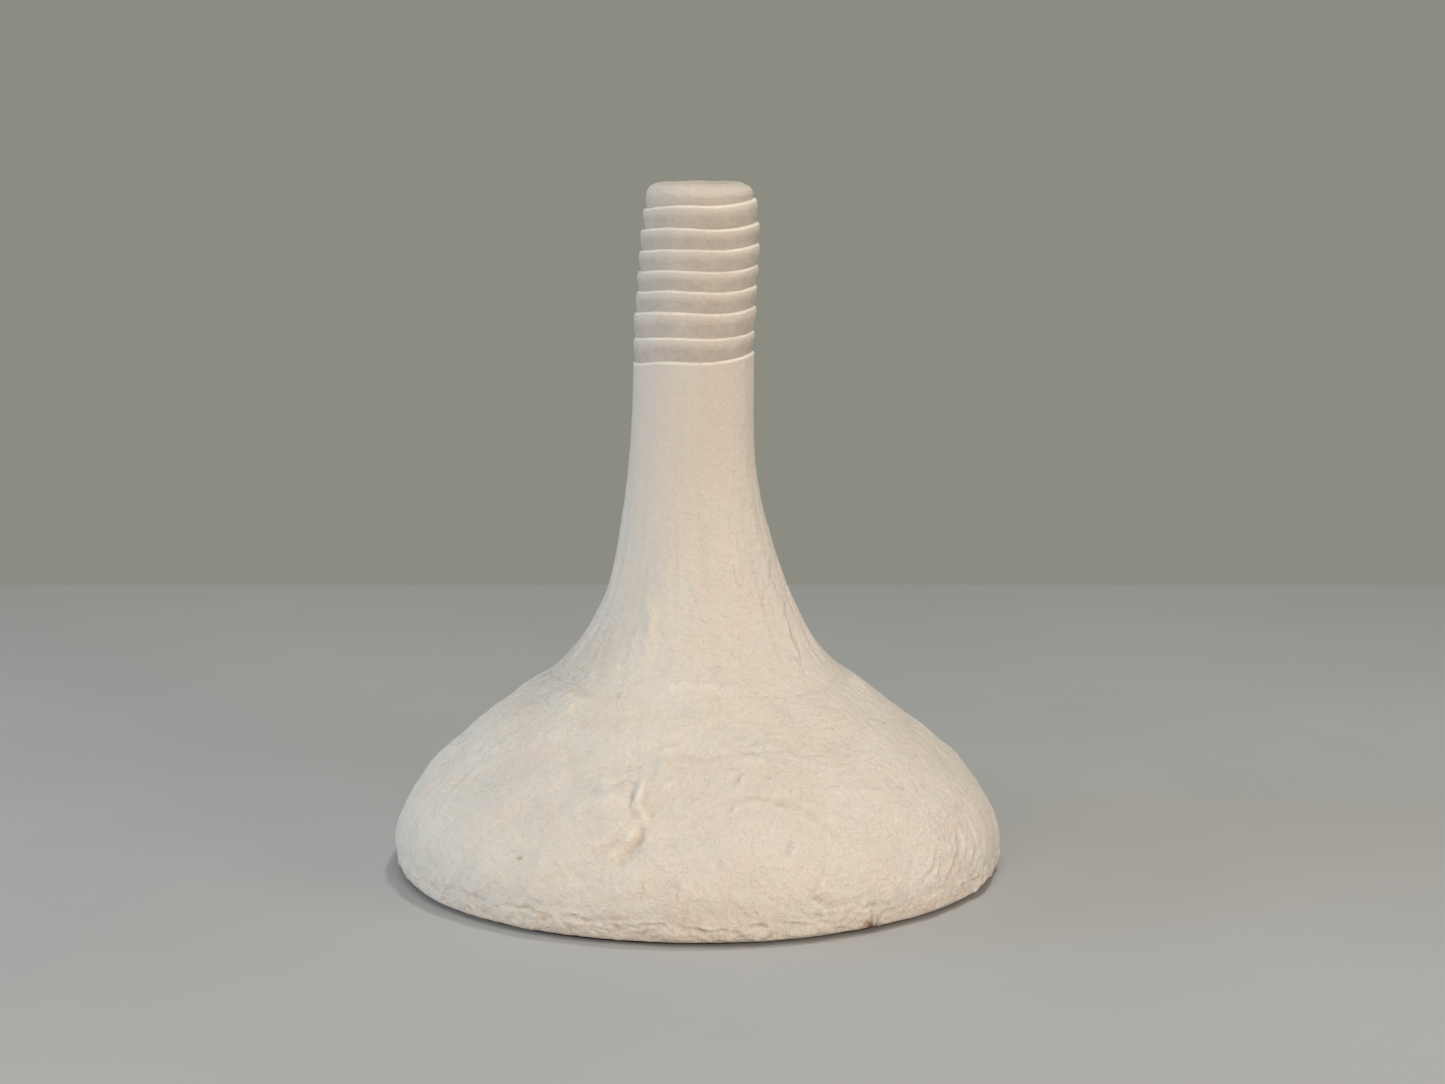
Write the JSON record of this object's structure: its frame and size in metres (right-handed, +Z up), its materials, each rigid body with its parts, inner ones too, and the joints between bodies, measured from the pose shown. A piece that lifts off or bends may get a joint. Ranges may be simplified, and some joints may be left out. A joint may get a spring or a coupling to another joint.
{
  "type": "bud vase",
  "caption": "Hand-built stoneware bud vase: a wide pinched mound draws up into a flared stem, a neck of stacked coil bands and a small round mouth.",
  "frame": {"origin": "centre of the face that the vase stands on", "axes": "+Z up along the bore; -Y towards the viewer; the neck bands rise towards +X"},
  "size_m": [0.178, 0.178, 0.2],
  "materials": {
    "stoneware": "unglazed, matte, fine sandy grain",
    "liner_glaze": "thin satin glaze"
  },
  "bodies": {
    "root": {"floor_slab": "stoneware", "foot_coil": "stoneware", "mound_wall": "stoneware", "flared_stem": "stoneware", "neck_band_1": "stoneware", "neck_band_2": "stoneware", "neck_band_3": "stoneware", "neck_band_4": "stoneware", "neck_band_5": "stoneware", "neck_band_6": "stoneware", "neck_band_7": "stoneware", "lip_band": "stoneware", "liner_glaze": "liner_glaze"}
  },
  "joints": []
}
